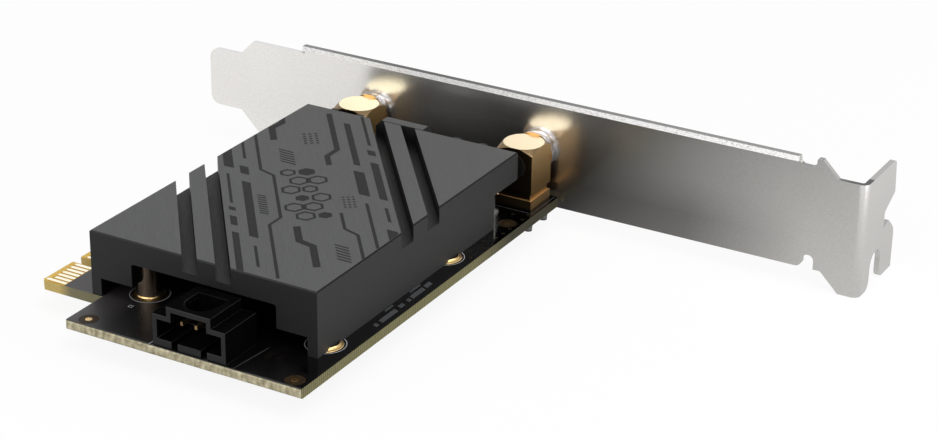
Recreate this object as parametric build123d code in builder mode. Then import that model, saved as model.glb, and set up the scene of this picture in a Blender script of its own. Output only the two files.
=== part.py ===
from build123d import *
import os
from math import cos, radians, sin

# A wireless network card for a computer's short expansion slot, with a finned cover plate as its
# heat sink, two antenna jacks and a full height bracket.
#
# Frame, in millimetres: the origin is the middle of the key notch at the tip of the edge tongue,
# halfway through the board. +X runs along the board to the bracket, +Y out of the edge tongue into
# the slot, and +Z out of the component side. Places on the board are measured from its corner
# at the free end: x from the free end, y from the near long edge, z from the component face.

os.makedirs("parts", exist_ok=True)

# Board and its edge tongue
board_thickness = 1.57
board_depth = 40.5
board_corner_radius = 0.25
board_end_radius = 0.4
key_to_free_end = 16.81
tongue_reach = 11.43
tongue_before_key = 8.15
tongue_after_key = 12.15
tongue_corner = 0.7
key_width = 1.9
key_depth = 8.0
key_corner = 0.5
edge_bevel = 0.4

# Copper contacts on the tongue
copper = 0.04
contact_pitch = 1.0
contact_width = 0.7
contact_start = 0.43
contact_end = 4.35
contact_late_start = 1.5
contact_key_gap = 1.5
contacts_before_key = 7
contacts_after_key = 11
late_contact = 5
tooling_hole_place = (1.86, 2.2)
tooling_hole_radius = 0.5

# Heat sink
sink_front = 8.78
sink_length = 58.0
sink_near = 2.95
sink_past_board = 1.83
sink_top = 10.33
leg_thickness = 1.69
overhang_length = 7.4
near_shoulder = 5.21
far_shoulder = 5.64
shoulder_under = 2.9
plate_under = 6.6
overhang_under = 5.7
tunnel_radius = 0.5
sink_edge_chamfer = 0.2
groove_angle = 37.7
groove_width = 2.1
groove_depth = 2.6
groove_pitch = 4.6
far_groove_pair = 16.95
near_groove_pair = 14.98
rear_boss_start = 19.3
rear_boss_width = 9.9
rear_boss_reach = 1.85
rear_boss_chamfer = 1.1
rib_thickness = 1.2
rib_reach = 1.1
rib_drop = 0.35
rib_middle = 23.57
rib_offsets = [9.2, 13.97]
pedestal_length = 20.0
pedestal_width = 17.0

# Screws that hold the heat sink, from the solder side
screw_from_front = 4.32
screw_from_overhang = 12.73
near_screw_y = 4.42
far_screw_set_back = 5.4
screw_radius = 1.0
screw_reach = 5.6
screw_end_gap = 0.4
screw_head_radius = 1.9
screw_head_height = 1.2
screw_recess_radius = 0.85
screw_recess_depth = 0.7
boss_radius = 2.05
hole_gap = 0.1
fit_gap = 0.02

# Radio module under the heat sink
module_length = 16.0
module_width = 12.0
module_board_height = 0.8
shield_inset = 0.4
shield_height = 1.2
shield_radius = 0.5

# Power header
header_front = 0.49
header_length = 7.7
header_start = 12.77
header_width = 12.5
header_height = 4.9
header_raised_width = 7.6
header_raised_height = 6.5
header_wall = 0.78
header_floor = 1.1
header_rear_wall = 1.6
header_slot_width = 1.0
header_slot_pitch = 5.0
header_window_radius = 2.5
header_lip = 1.0
pin_count = 4
pin_pitch = 2.5
pin_size = 0.64
pin_height = 2.3
pin_recess = 3.5
pin_bend_set_back = 0.9
pin_bend_radius = 0.5
pin_below_board = 1.1
pin_hole_size = 0.9

# Antenna jacks
near_jack_y = 4.67
far_jack_set_back = 4.9
jack_names = ["near", "far"]
jack_axis_height = 6.95
jack_from_sink = 1.87
board_past_jack = 0.35
jack_block = 6.5
jack_block_top = 9.95
jack_crown_radius = 3.3
jack_crown_drop = 0.85
jack_groove_low = 1.4
jack_groove_high = 2.6
jack_groove_depth = 0.4
jack_collar_radius = 3.44
jack_barrel_radius = 3.175
jack_barrel_length = 11.4
jack_engaged_radius = 2.95
jack_barrel_chamfer = 0.35
jack_bore_radius = 2.05
jack_mouth_radius = 2.3
jack_mouth_depth = 4.6
jack_sleeve_size = 2.2
jack_cap_length = 0.8
jack_cap_proud = 0.15
jack_contact_radius = 0.46
jack_contact_reach = 3.6
jack_contact_leg_size = 0.8
jack_leg_size = 0.9
jack_leg_spacing = 5.08
jack_leg_below_board = 1.0
jack_leg_hole_size = 1.2
washer_radius = 4.7
washer_thickness = 0.5
washer_rim = 0.8
washer_tooth_count = 6
washer_tooth_width = 1.2
washer_bore_radius = 3.25
nut_across_flats = 8.0
nut_thickness = 2.2
nut_chamfer = 0.35

# Bracket
bracket_gap = 0.97
bracket_thickness = 0.86
bracket_height = 120.02
bracket_tip = 68.65
bracket_width = 18.42
bracket_low = -2.35
tip_width = 10.19
tip_low = 1.65
tip_straight = 6.25
tip_radius = 1.7
hem_from_tip = 19.45
hem_from_bend = 11.07
hem_reach = 1.45
hem_drop = 1.5
hem_radius = 0.5
relief_width = 2.8
relief_radius = 0.9
horn_radius = 0.3
horn_width = 0.9
low_notch_width = 1.9
low_notch_depth = 2.25
low_notch_radius = 1.1
low_notch_top_radius = 0.9
low_notch_from_bend = 9.57
low_horn_width = 1.2
tab_low = -5.45
tab_width = 18.8
tab_reach = 12.4
tab_lip_reach = 13.0
tab_bend_radius = 0.4
tab_corner_radius = 1.0
tab_slot_width = 4.42
tab_slot_middle = 6.4
tab_slot_depth = 5.65
tab_slot_mouth_radius = 1.5
tab_prong_radius = 2.4
tab_notch_top = 7.7
tab_notch_foot = 5.7
tab_notch_floor = 2.9
tab_notch_root = 9.0
tab_notch_radius = 0.6
hook_reach = 13.9
hook_tip_reach = 11.1
hook_tip_height = 3.6
hook_shoulder = 1.2
hook_tip_radius = 0.3
hook_shoulder_radius = 2.5

# Small surface mounted parts: length, width and height of each kind
capacitor_size = (1.6, 0.8, 0.8)
resistor_size = (1.0, 0.5, 0.35)
inductor_size = (4.0, 4.0, 2.0)
regulator_size = (3.0, 3.0, 0.85)
crystal_size = (3.2, 2.5, 0.7)
capacitor_rows = 2
capacitor_columns = 5
capacitor_pitch = 2.6
capacitor_row_gap = 2.4
resistor_columns = 6
resistor_pitch = 1.5
small_part_gap = 1.2
coupling_pitch = 1.6
coupling_set_back = 2.0
coupling_count = 4

# Places that follow from the sizes above
free_end = -key_to_free_end
near_edge = -(tongue_reach + board_depth)
board_top = board_thickness / 2
sink_rear = sink_front + sink_length
sink_far = board_depth + sink_past_board
sink_width = sink_far - sink_near
leg_length = sink_length - overhang_length
sink_middle = (sink_front + sink_length / 2, sink_near + sink_width / 2)
tunnel_near = sink_near + leg_thickness + near_shoulder
tunnel_far = sink_far - leg_thickness - far_shoulder
module_middle = (sink_middle[0], (tunnel_near + tunnel_far) / 2)
screw_x = [sink_front + screw_from_front, sink_rear - overhang_length - screw_from_overhang]
near_screws = [(x, near_screw_y) for x in screw_x]
far_screws = [(x, board_depth - far_screw_set_back) for x in screw_x]
all_screws = near_screws + far_screws
header_middle = header_start + header_width / 2
header_rear = header_front + header_length
pin_bend = header_rear + pin_bend_set_back
pin_span = (pin_count - 1) * pin_pitch
jack_y = [near_jack_y, board_depth - far_jack_set_back]
jack_rear = sink_rear + jack_from_sink
jack_front = jack_rear + jack_block
board_length = jack_front + board_past_jack
jack_middle = jack_rear + jack_block / 2
bracket_inner = board_length + bracket_gap
bracket_outer = bracket_inner + bracket_thickness
nut_face = bracket_outer + washer_thickness + nut_thickness
jack_tip = bracket_inner + jack_barrel_length
jack_mouth = jack_tip - jack_mouth_depth
bracket_high = bracket_low + bracket_width
bracket_bend = bracket_tip - bracket_height
hem_far_end = bracket_tip - hem_from_tip
hem_near_end = bracket_bend + hem_from_bend
low_notch_start = bracket_bend + low_notch_from_bend
tab_high = tab_low + tab_width

# Planes: on the component face at a height, across the board at an x, and along it at a y
board_face = Plane(origin=(free_end, near_edge, board_top))


def across(x):
    """The plane at x whose own x and y are the board's y and z."""
    return Plane(origin=(free_end + x, near_edge, board_top), x_dir=(0, 1, 0), z_dir=(1, 0, 0))


def along(y):
    """The plane at y whose own x and y are the board's x and z. It faces the near edge."""
    return Plane(origin=(free_end, near_edge + y, board_top), x_dir=(1, 0, 0), z_dir=(0, -1, 0))


def keep(piece, name):
    """Labels a finished piece and writes it to its own file."""
    piece.part.label = name
    export_step(piece.part, f"parts/{name}.step")


# Board
with BuildPart() as board:
    with BuildSketch(board_face.offset(-board_thickness)) as board_outline:
        with Locations((board_length / 2, board_depth / 2)):
            RectangleRounded(board_length, board_depth, board_corner_radius)
        with Locations((key_to_free_end - tongue_before_key, board_depth / 2)):
            Rectangle(
                tongue_before_key + tongue_after_key,
                board_depth / 2 + tongue_reach,
                align=(Align.MIN, Align.MIN),
            )
        tongue_ends = board_outline.vertices().group_by(Axis.Y)[-1]
        chamfer(tongue_ends, length=tongue_corner)
        with Locations((key_to_free_end, board_depth + tongue_reach)):
            Rectangle(
                key_width,
                key_depth - key_width / 2,
                align=(Align.CENTER, Align.MAX),
                mode=Mode.SUBTRACT,
            )
        with Locations((key_to_free_end, board_depth + tongue_reach - key_depth + key_width / 2)):
            Circle(key_width / 2, mode=Mode.SUBTRACT)
        key_ends = board_outline.vertices().group_by(Axis.Y)[-1].sort_by(Axis.X)[1:3]
        chamfer(key_ends, length=key_corner)
    extrude(amount=board_thickness)
    chamfer(board.edges().filter_by(Axis.X).group_by(Axis.Y)[-1], length=edge_bevel)
    with BuildSketch(along(0)) as rounded_end:
        with Locations((0, 0)):
            Rectangle(board_length, board_thickness, align=(Align.MIN, Align.MAX))
        fillet(rounded_end.vertices().group_by(Axis.X)[0], radius=board_end_radius)
    extrude(amount=-board_depth - tongue_reach, mode=Mode.INTERSECT)
    with BuildSketch(board_face):
        with Locations(*all_screws):
            Circle(screw_radius + hole_gap)
        with Locations(tooling_hole_place):
            Circle(tooling_hole_radius)
        with Locations((pin_bend, header_middle)):
            with GridLocations(pin_pitch, pin_pitch, 1, pin_count):
                Rectangle(pin_hole_size, pin_hole_size)
        for jack in jack_y:
            with Locations((jack_middle, jack)):
                Rectangle(jack_leg_hole_size, jack_leg_hole_size)
                with GridLocations(jack_leg_spacing, jack_leg_spacing, 2, 2):
                    Rectangle(jack_leg_hole_size, jack_leg_hole_size)
    extrude(amount=-board_thickness, mode=Mode.SUBTRACT)
keep(board, "board")

# Edge contacts: two runs on each face, with one contact that mates late
contact_rows = []
for index in range(contacts_before_key):
    start = contact_late_start if index == late_contact else contact_start
    contact_rows.append((key_to_free_end - contact_key_gap - index * contact_pitch, start))
for index in range(contacts_after_key):
    contact_rows.append((key_to_free_end + contact_key_gap + index * contact_pitch, contact_start))
for name, low in [("component_side", 0), ("solder_side", -board_thickness - copper)]:
    with BuildPart() as contacts:
        with BuildSketch(board_face.offset(low)):
            for x, start in contact_rows:
                with Locations((x, board_depth + tongue_reach - start)):
                    Rectangle(contact_width, contact_end - start, align=(Align.CENTER, Align.MAX))
        extrude(amount=copper)
    keep(contacts, f"edge_contacts_{name}")

# Heat sink: one profile along the board, then the overhang, bosses, grooves and rear boss
with BuildPart() as heat_sink:
    with BuildSketch(across(sink_front)):
        with BuildLine():
            Polyline(
                (sink_near, 0),
                (sink_near, sink_top),
                (sink_far, sink_top),
                (sink_far, 0),
                (sink_far - leg_thickness, 0),
                (sink_far - leg_thickness, shoulder_under),
                (tunnel_far, shoulder_under),
                (tunnel_far, plate_under),
                (tunnel_near, plate_under),
                (tunnel_near, shoulder_under),
                (sink_near + leg_thickness, shoulder_under),
                (sink_near + leg_thickness, 0),
                close=True,
            )
        make_face()
    extrude(amount=sink_length)
    tunnel_edges = heat_sink.edges().filter_by(Axis.X).filter_by_position(
        Axis.Z, board_top + plate_under - fit_gap, board_top + plate_under + fit_gap
    )
    fillet(tunnel_edges, radius=tunnel_radius)
    chamfer(heat_sink.edges().group_by(Axis.Z)[-1], length=sink_edge_chamfer)
    with BuildSketch(along(sink_near)):
        with Locations((sink_front + leg_length, 0)):
            Rectangle(sink_length - leg_length, overhang_under, align=(Align.MIN, Align.MIN))
    extrude(amount=-sink_width, mode=Mode.SUBTRACT)
    with BuildSketch(board_face.offset(plate_under)):
        with Locations(module_middle):
            Rectangle(pedestal_length, pedestal_width)
    extrude(amount=shoulder_under - plate_under)
    with BuildSketch(board_face):
        with Locations(*near_screws):
            Circle(boss_radius)
        with Locations(sink_middle):
            Rectangle(sink_length, sink_width, mode=Mode.INTERSECT)
    extrude(amount=shoulder_under)
    with BuildSketch(board_face):
        with Locations(*near_screws):
            Circle(screw_radius + fit_gap)
    extrude(amount=screw_reach + screw_end_gap, mode=Mode.SUBTRACT)
    with BuildSketch(board_face):
        with Locations(*far_screws):
            Circle(boss_radius + fit_gap)
    extrude(amount=plate_under, mode=Mode.SUBTRACT)
    groove_x = (cos(radians(groove_angle)), sin(radians(groove_angle)), 0)
    sink_top_middle = board_face.from_local_coords((*sink_middle, sink_top))
    with BuildSketch(Plane(origin=sink_top_middle, x_dir=groove_x, z_dir=(0, 0, 1))):
        for pair in (far_groove_pair, -near_groove_pair):
            with Locations((0, pair)):
                with GridLocations(groove_pitch, groove_pitch, 1, 2):
                    Rectangle(sink_length + sink_width, groove_width)
    extrude(amount=-groove_depth, mode=Mode.SUBTRACT)
    with BuildSketch(across(sink_rear)) as rear_boss:
        with Locations((rear_boss_start, overhang_under)):
            Rectangle(rear_boss_width, sink_top - overhang_under, align=(Align.MIN, Align.MIN))
        chamfer(rear_boss.vertices().group_by(Axis.Y)[-1], length=rear_boss_chamfer)
    extrude(amount=rear_boss_reach)
    with BuildSketch(across(sink_rear)):
        for offset_y in rib_offsets:
            with Locations(*[(rib_middle + side * offset_y, overhang_under) for side in (-1, 1)]):
                Rectangle(
                    rib_thickness,
                    sink_top - rib_drop - overhang_under,
                    align=(Align.CENTER, Align.MIN),
                )
    extrude(amount=rib_reach)
keep(heat_sink, "heat_sink")

# Brass standoffs, pressed into pockets of the heat sink's far side
with BuildPart() as standoffs:
    with BuildSketch(board_face):
        with Locations(*far_screws):
            Circle(boss_radius)
            Circle(screw_radius + fit_gap, mode=Mode.SUBTRACT)
    extrude(amount=plate_under)
keep(standoffs, "standoffs")

# Heat sink screws: round heads on the solder side with a cross recess
with BuildPart() as sink_screws:
    with BuildSketch(board_face.offset(-board_thickness)):
        with Locations(*all_screws):
            Circle(screw_head_radius)
    extrude(amount=-screw_head_height)
    with BuildSketch(board_face.offset(-board_thickness)):
        with Locations(*all_screws):
            Circle(screw_radius)
    extrude(amount=board_thickness + screw_reach)
    with BuildSketch(board_face.offset(-board_thickness - screw_head_height)):
        with Locations(*all_screws):
            Rectangle(2 * screw_recess_radius, screw_recess_radius / 2)
            Rectangle(screw_recess_radius / 2, 2 * screw_recess_radius)
    extrude(amount=screw_recess_depth, mode=Mode.SUBTRACT)
keep(sink_screws, "heat_sink_screws")

# Radio module: its own small board, a shield can and the thermal pad up to the pedestal
shield_top = module_board_height + shield_height
shield_length = module_length - 2 * shield_inset
shield_width = module_width - 2 * shield_inset
with BuildPart() as module_board:
    with BuildSketch(board_face):
        with Locations(module_middle):
            Rectangle(module_length, module_width)
    extrude(amount=module_board_height)
keep(module_board, "radio_module_board")

with BuildPart() as module_shield:
    with BuildSketch(board_face.offset(module_board_height)):
        with Locations(module_middle):
            RectangleRounded(shield_length, shield_width, shield_radius)
    extrude(amount=shield_height)
keep(module_shield, "radio_module_shield")

with BuildPart() as thermal_pad:
    with BuildSketch(board_face.offset(shield_top)):
        with Locations(module_middle):
            Rectangle(shield_length - 2 * shield_radius, shield_width - 2 * shield_radius)
    extrude(amount=shoulder_under - shield_top)
keep(thermal_pad, "thermal_pad")

# Power header: a shroud open towards the free end, with a raised middle for the plug's latch
raised_start = header_middle - header_raised_width / 2
with BuildPart() as header_shroud:
    with BuildSketch(across(header_front)):
        with Locations((header_start, 0)):
            Rectangle(header_width, header_height, align=(Align.MIN, Align.MIN))
        with Locations((raised_start, 0)):
            Rectangle(header_raised_width, header_raised_height, align=(Align.MIN, Align.MIN))
    extrude(amount=header_length)
    with BuildSketch(across(header_front)):
        with Locations((header_start + header_wall, header_floor)):
            Rectangle(
                header_width - 2 * header_wall,
                header_height - header_wall - header_floor,
                align=(Align.MIN, Align.MIN),
            )
        with Locations((raised_start + header_wall, header_floor)):
            Rectangle(
                header_raised_width - 2 * header_wall,
                header_raised_height - header_wall - header_floor,
                align=(Align.MIN, Align.MIN),
            )
        with Locations((header_middle, 0)):
            with GridLocations(header_slot_pitch, header_slot_pitch, 2, 1):
                Rectangle(header_slot_width, 2 * header_floor)
    extrude(amount=header_length - header_rear_wall, mode=Mode.SUBTRACT)
    window_start = header_front + header_lip + header_window_radius
    with BuildSketch(board_face.offset(header_raised_height)):
        with Locations((window_start, header_middle)):
            Circle(header_window_radius)
            Rectangle(
                header_rear - header_rear_wall - window_start,
                2 * header_window_radius,
                align=(Align.MIN, Align.CENTER),
            )
    extrude(amount=-header_wall, mode=Mode.SUBTRACT)
    with BuildSketch(across(header_rear)):
        with Locations((header_middle, pin_height)):
            with GridLocations(pin_pitch, pin_pitch, pin_count, 1):
                Rectangle(pin_size + fit_gap, pin_size + fit_gap)
    extrude(amount=-header_rear_wall, mode=Mode.SUBTRACT)
keep(header_shroud, "header_shroud")

# Header pins: square wire, bent down behind the shroud and through the board
with BuildPart() as header_pins:
    for index in range(pin_count):
        pin_side = header_middle - pin_span / 2 + index * pin_pitch + pin_size / 2
        with BuildSketch(along(pin_side)) as pin:
            with Locations((header_front + pin_recess, pin_height)):
                Rectangle(
                    pin_bend + pin_size / 2 - header_front - pin_recess,
                    pin_size,
                    align=(Align.MIN, Align.CENTER),
                )
            with Locations((pin_bend, pin_height + pin_size / 2)):
                Rectangle(
                    pin_size,
                    pin_height + pin_size / 2 + board_thickness + pin_below_board,
                    align=(Align.CENTER, Align.MAX),
                )
            fillet(pin.vertices().group_by(Axis.X)[-1].group_by(Axis.Y)[-1], radius=pin_bend_radius)
        extrude(amount=pin_size)
keep(header_pins, "header_pins")


def contact_shape(y, grow, low, end):
    """A jack's centre contact: out to end, with a leg down to low. Grown, it is its channel."""
    with BuildPart() as shape:
        with BuildSketch(across(jack_middle)):
            with Locations((y, jack_axis_height)):
                Circle(jack_contact_radius + grow)
        extrude(amount=end - jack_middle)
        with BuildSketch(board_face.offset(low)):
            with Locations((jack_middle, y)):
                Rectangle(jack_contact_leg_size + 2 * grow, jack_contact_leg_size + 2 * grow)
        extrude(amount=jack_axis_height + jack_contact_radius + grow - low)
    return shape.part


# Antenna jacks, each held by its nut through a hole in the bracket
crown_slope = jack_crown_drop / (jack_block / 2**0.5 - jack_crown_radius)
crown_edge = jack_block_top - crown_slope * (jack_block - jack_crown_radius)
groove_core = jack_block - 2 * jack_groove_depth
tooth_end = washer_radius - washer_rim / 2
for name, y in zip(jack_names, jack_y):
    jack_foot = board_face.from_local_coords((jack_middle, y, 0))
    with BuildPart() as jack_body:
        with BuildSketch(board_face):
            with Locations((jack_middle, y)):
                Rectangle(jack_block, jack_block)
        extrude(amount=jack_block_top)
        with BuildSketch(Plane(origin=jack_foot, x_dir=(1, 0, 0), z_dir=(0, -1, 0))):
            with BuildLine():
                Polyline(
                    (0, 0),
                    (jack_block, 0),
                    (jack_block, crown_edge),
                    (jack_crown_radius, jack_block_top),
                    (0, jack_block_top),
                    close=True,
                )
            make_face()
        revolve(axis=Axis(jack_foot, (0, 0, 1)), mode=Mode.INTERSECT)
        with BuildSketch(board_face.offset(jack_groove_low)):
            with Locations((jack_middle, y)):
                Rectangle(jack_block, jack_block)
                Rectangle(groove_core, groove_core, mode=Mode.SUBTRACT)
        extrude(amount=jack_groove_high - jack_groove_low, mode=Mode.SUBTRACT)
        with BuildSketch(across(jack_front)):
            with Locations((y, jack_axis_height)):
                Circle(jack_collar_radius)
        extrude(amount=bracket_inner - jack_front)
        with BuildSketch(across(bracket_inner)):
            with Locations((y, jack_axis_height)):
                Circle(jack_engaged_radius)
        extrude(amount=nut_face - bracket_inner)
        with BuildSketch(across(nut_face)):
            with Locations((y, jack_axis_height)):
                Circle(jack_barrel_radius)
        extrude(amount=jack_tip - nut_face)
        chamfer(jack_body.edges().group_by(Axis.X)[-1], length=jack_barrel_chamfer)
        with BuildSketch(across(jack_rear)):
            with Locations((y, jack_axis_height)):
                Circle(jack_bore_radius)
        extrude(amount=jack_tip - jack_rear, mode=Mode.SUBTRACT)
        with BuildSketch(across(jack_mouth)):
            with Locations((y, jack_axis_height)):
                Circle(jack_mouth_radius)
        extrude(amount=jack_mouth_depth, mode=Mode.SUBTRACT)
        with BuildSketch(board_face):
            with Locations((jack_middle, y)):
                Rectangle(jack_sleeve_size, jack_sleeve_size)
        extrude(amount=jack_axis_height, mode=Mode.SUBTRACT)
        with BuildSketch(board_face):
            with Locations((jack_middle, y)):
                with GridLocations(jack_leg_spacing, jack_leg_spacing, 2, 2):
                    Rectangle(jack_leg_size, jack_leg_size)
        extrude(amount=-board_thickness - jack_leg_below_board)
    keep(jack_body, f"jack_body_{name}")

    with BuildPart() as jack_insulator:
        with BuildSketch(across(jack_rear + jack_cap_length)):
            with Locations((y, jack_axis_height)):
                Circle(jack_bore_radius - fit_gap)
        extrude(amount=jack_mouth - jack_rear - jack_cap_length)
        with BuildSketch(board_face):
            with Locations((jack_middle, y)):
                Rectangle(jack_sleeve_size - 2 * fit_gap, jack_sleeve_size - 2 * fit_gap)
        extrude(amount=jack_axis_height)
        add(contact_shape(y, fit_gap, 0, jack_mouth), mode=Mode.SUBTRACT)
    keep(jack_insulator, f"jack_insulator_{name}")

    with BuildPart() as jack_contact:
        contact_end = jack_mouth + jack_contact_reach
        add(contact_shape(y, 0, -board_thickness - jack_leg_below_board, contact_end))
        chamfer(jack_contact.edges().group_by(Axis.X)[-1], length=jack_contact_radius / 2)
    keep(jack_contact, f"jack_contact_{name}")

    with BuildPart() as jack_cap:
        with BuildSketch(across(jack_rear - jack_cap_proud)):
            with Locations((y, jack_axis_height)):
                Circle(jack_bore_radius - fit_gap)
        extrude(amount=jack_cap_length + jack_cap_proud)
    keep(jack_cap, f"jack_cap_{name}")

    with BuildPart() as jack_washer:
        with BuildSketch(across(bracket_outer)):
            with Locations((y, jack_axis_height)):
                Circle(washer_radius)
                Circle(washer_radius - washer_rim, mode=Mode.SUBTRACT)
                with PolarLocations((washer_bore_radius + tooth_end) / 2, washer_tooth_count):
                    Rectangle(tooth_end - washer_bore_radius, washer_tooth_width)
        extrude(amount=washer_thickness)
    keep(jack_washer, f"jack_washer_{name}")

    with BuildPart() as nut_blank:
        with BuildSketch(across(bracket_outer + washer_thickness)):
            with Locations((y, jack_axis_height)):
                Circle(nut_across_flats / 3**0.5)
        extrude(amount=nut_thickness)
        chamfer(nut_blank.edges().group_by(Axis.X)[-1], length=nut_chamfer)
    with BuildPart() as jack_nut:
        with BuildSketch(across(bracket_outer + washer_thickness)):
            with Locations((y, jack_axis_height)):
                RegularPolygon(nut_across_flats / 2, 6, major_radius=False)
        extrude(amount=nut_thickness)
        add(nut_blank.part, mode=Mode.INTERSECT)
        with BuildSketch(across(bracket_outer + washer_thickness)):
            with Locations((y, jack_axis_height)):
                Circle(jack_engaged_radius + fit_gap)
        extrude(amount=nut_thickness, mode=Mode.SUBTRACT)
    keep(jack_nut, f"jack_nut_{name}")

# Bracket: a flat sheet outline, a hem along its component edge and the tab bent at the near end
tip_high = tip_low + tip_width
bare_high = bracket_high - hem_drop
shoulder_start = bracket_tip - tip_straight
horn_start = hem_near_end - relief_width
low_horn_start = low_notch_start - low_notch_width
with BuildPart() as bracket:
    with BuildSketch(across(bracket_inner)) as sheet:
        with BuildLine():
            Polyline(
                (bracket_bend, tab_low),
                (low_horn_start - low_horn_width - (bracket_low - tab_low), tab_low),
                (low_horn_start - low_horn_width, bracket_low),
                (low_horn_start, bracket_low),
                (low_horn_start, bracket_low + low_notch_depth),
                (low_notch_start, bracket_low + low_notch_depth),
                (low_notch_start, bracket_low),
                (shoulder_start - (tip_low - bracket_low), bracket_low),
                (shoulder_start, tip_low),
                (bracket_tip, tip_low),
                (bracket_tip, tip_high),
                (shoulder_start, tip_high),
                (shoulder_start - (bare_high - tip_high), bare_high),
                (hem_far_end, bare_high),
                (hem_far_end, bracket_high),
                (hem_near_end, bracket_high),
                (hem_near_end, bare_high),
                (horn_start, bare_high),
                (horn_start, bracket_high),
                (horn_start - horn_width, bracket_high),
                (horn_start - horn_width - (bracket_high - tab_high), tab_high),
                (bracket_bend, tab_high),
                close=True,
            )
        make_face()
        fillet(sheet.vertices().group_by(Axis.X)[-1], radius=tip_radius)
        for corner_y, corner_z, corner_radius in [
            (low_notch_start, bracket_low, low_notch_radius),
            (low_notch_start, bracket_low + low_notch_depth, low_notch_top_radius),
            (low_horn_start, bracket_low + low_notch_depth, low_notch_top_radius),
            (hem_near_end, bare_high, relief_radius),
            (horn_start, bare_high, relief_radius),
            (horn_start, bracket_high, horn_radius),
            (horn_start - horn_width, bracket_high, horn_radius),
        ]:
            corner = sheet.vertices().sort_by_distance((corner_y, corner_z))[0]
            fillet(corner, corner_radius)
        with Locations(*[(y, jack_axis_height) for y in jack_y]):
            Circle(jack_barrel_radius + hole_gap, mode=Mode.SUBTRACT)
    extrude(amount=bracket_thickness)
    with BuildSketch(along(hem_near_end)):
        with Locations((bracket_outer, bracket_high)):
            Rectangle(hem_reach, bracket_thickness, align=(Align.MAX, Align.MAX))
    extrude(amount=hem_near_end - hem_far_end)
    top_edges = bracket.edges().filter_by(Axis.Y).group_by(Axis.Z)[-1].group_by(Axis.X)[-1]
    fillet(top_edges.sort_by(SortBy.LENGTH)[-1], radius=hem_radius)
    with BuildSketch(along(bracket_bend + bracket_thickness)) as tab:
        with BuildLine():
            Polyline(
                (bracket_inner, tab_low),
                (bracket_inner + hook_reach, tab_low),
                (bracket_inner + hook_reach, hook_shoulder),
                (bracket_inner + hook_tip_reach, hook_tip_height),
                (bracket_inner + tab_notch_root, tab_notch_floor),
                (bracket_inner + tab_notch_root, tab_notch_foot),
                (bracket_inner + tab_lip_reach, tab_notch_top),
                (bracket_inner + tab_reach, tab_high),
                (bracket_inner, tab_high),
                close=True,
            )
        make_face()
        for corner_x, corner_z, corner_radius in [
            (tab_reach, tab_high, tab_corner_radius),
            (tab_notch_root, tab_notch_foot, tab_notch_radius),
            (hook_tip_reach, hook_tip_height, hook_tip_radius),
            (hook_reach, hook_shoulder, hook_shoulder_radius),
        ]:
            corner = tab.vertices().sort_by_distance((bracket_inner + corner_x, corner_z))[0]
            fillet(corner, corner_radius)
        slot_x = bracket_inner + tab_slot_middle
        with Locations((slot_x, tab_low)):
            Rectangle(
                tab_slot_width,
                tab_slot_depth - tab_slot_width / 2,
                align=(Align.CENTER, Align.MIN),
                mode=Mode.SUBTRACT,
            )
        with Locations((slot_x, tab_low + tab_slot_depth - tab_slot_width / 2)):
            Circle(tab_slot_width / 2, mode=Mode.SUBTRACT)
        low_corners = tab.vertices().group_by(Axis.Y)[0].sort_by(Axis.X)
        fillet(low_corners[1:3], tab_slot_mouth_radius)
        fillet(low_corners[3], tab_prong_radius)
    extrude(amount=bracket_thickness)
    bend_edge = bracket.edges().filter_by(Axis.Z).group_by(Axis.Y)[0].sort_by(Axis.X)[0]
    fillet(bend_edge, tab_bend_radius + bracket_thickness)
    root_point = across(bracket_outer).from_local_coords((bracket_bend + bracket_thickness, 0, 0))
    bend_root = bracket.edges().filter_by(Axis.Z).sort_by_distance(root_point)[0]
    fillet(bend_root, tab_bend_radius)
keep(bracket, "bracket")


def chips(name, size, places):
    """One kind of surface mounted part, one solid at each place, on the component face."""
    with BuildPart() as group:
        with BuildSketch(board_face):
            with Locations(*places):
                Rectangle(size[0], size[1])
        extrude(amount=size[2])
    keep(group, name)


def row_places(start, count, pitch, y):
    """Places of a row that runs along x."""
    return [(start + index * pitch, y) for index in range(count)]


# Surface mounted parts round the module
module_end = module_middle[0] + module_length / 2
module_side = module_middle[1] + module_width / 2
chip_start = module_middle[0] - module_length / 2 - small_part_gap - inductor_size[0]
capacitor_y = module_side + small_part_gap + capacitor_size[1] / 2
capacitor_start = module_middle[0] - capacitor_pitch * (capacitor_columns - 1) / 2
capacitor_places = []
for row in range(capacitor_rows):
    row_y = capacitor_y + row * capacitor_row_gap
    capacitor_places += row_places(capacitor_start, capacitor_columns, capacitor_pitch, row_y)
chips("capacitors", capacitor_size, capacitor_places)
resistor_y = module_middle[1] - module_width / 2 - small_part_gap - resistor_size[1] / 2
resistor_start = module_middle[0] - resistor_pitch * (resistor_columns - 1) / 2
resistor_places = row_places(resistor_start, resistor_columns, resistor_pitch, resistor_y)
chips("resistors", resistor_size, resistor_places)
power_x = chip_start + inductor_size[0] / 2
inductor_place = (power_x, module_middle[1] + (inductor_size[1] + small_part_gap) / 2)
chips("power_inductor", inductor_size, [inductor_place])
regulator_place = (power_x, module_middle[1] - (regulator_size[1] + small_part_gap) / 2)
chips("voltage_regulator", regulator_size, [regulator_place])
crystal_place = (module_end + small_part_gap + crystal_size[0] / 2, module_middle[1])
chips("crystal", crystal_size, [crystal_place])

# Coupling capacitors of the edge contacts' data lines, on the solder side
with BuildPart() as coupling_capacitors:
    with BuildSketch(board_face.offset(-board_thickness)):
        with Locations((key_to_free_end - tongue_before_key / 2, board_depth - coupling_set_back)):
            with GridLocations(coupling_pitch, coupling_pitch, coupling_count, 1):
                Rectangle(capacitor_size[1], capacitor_size[0])
    extrude(amount=-capacitor_size[2])
keep(coupling_capacitors, "coupling_capacitors")
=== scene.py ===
import math
import random

import bpy
from mathutils import Matrix, Vector


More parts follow.
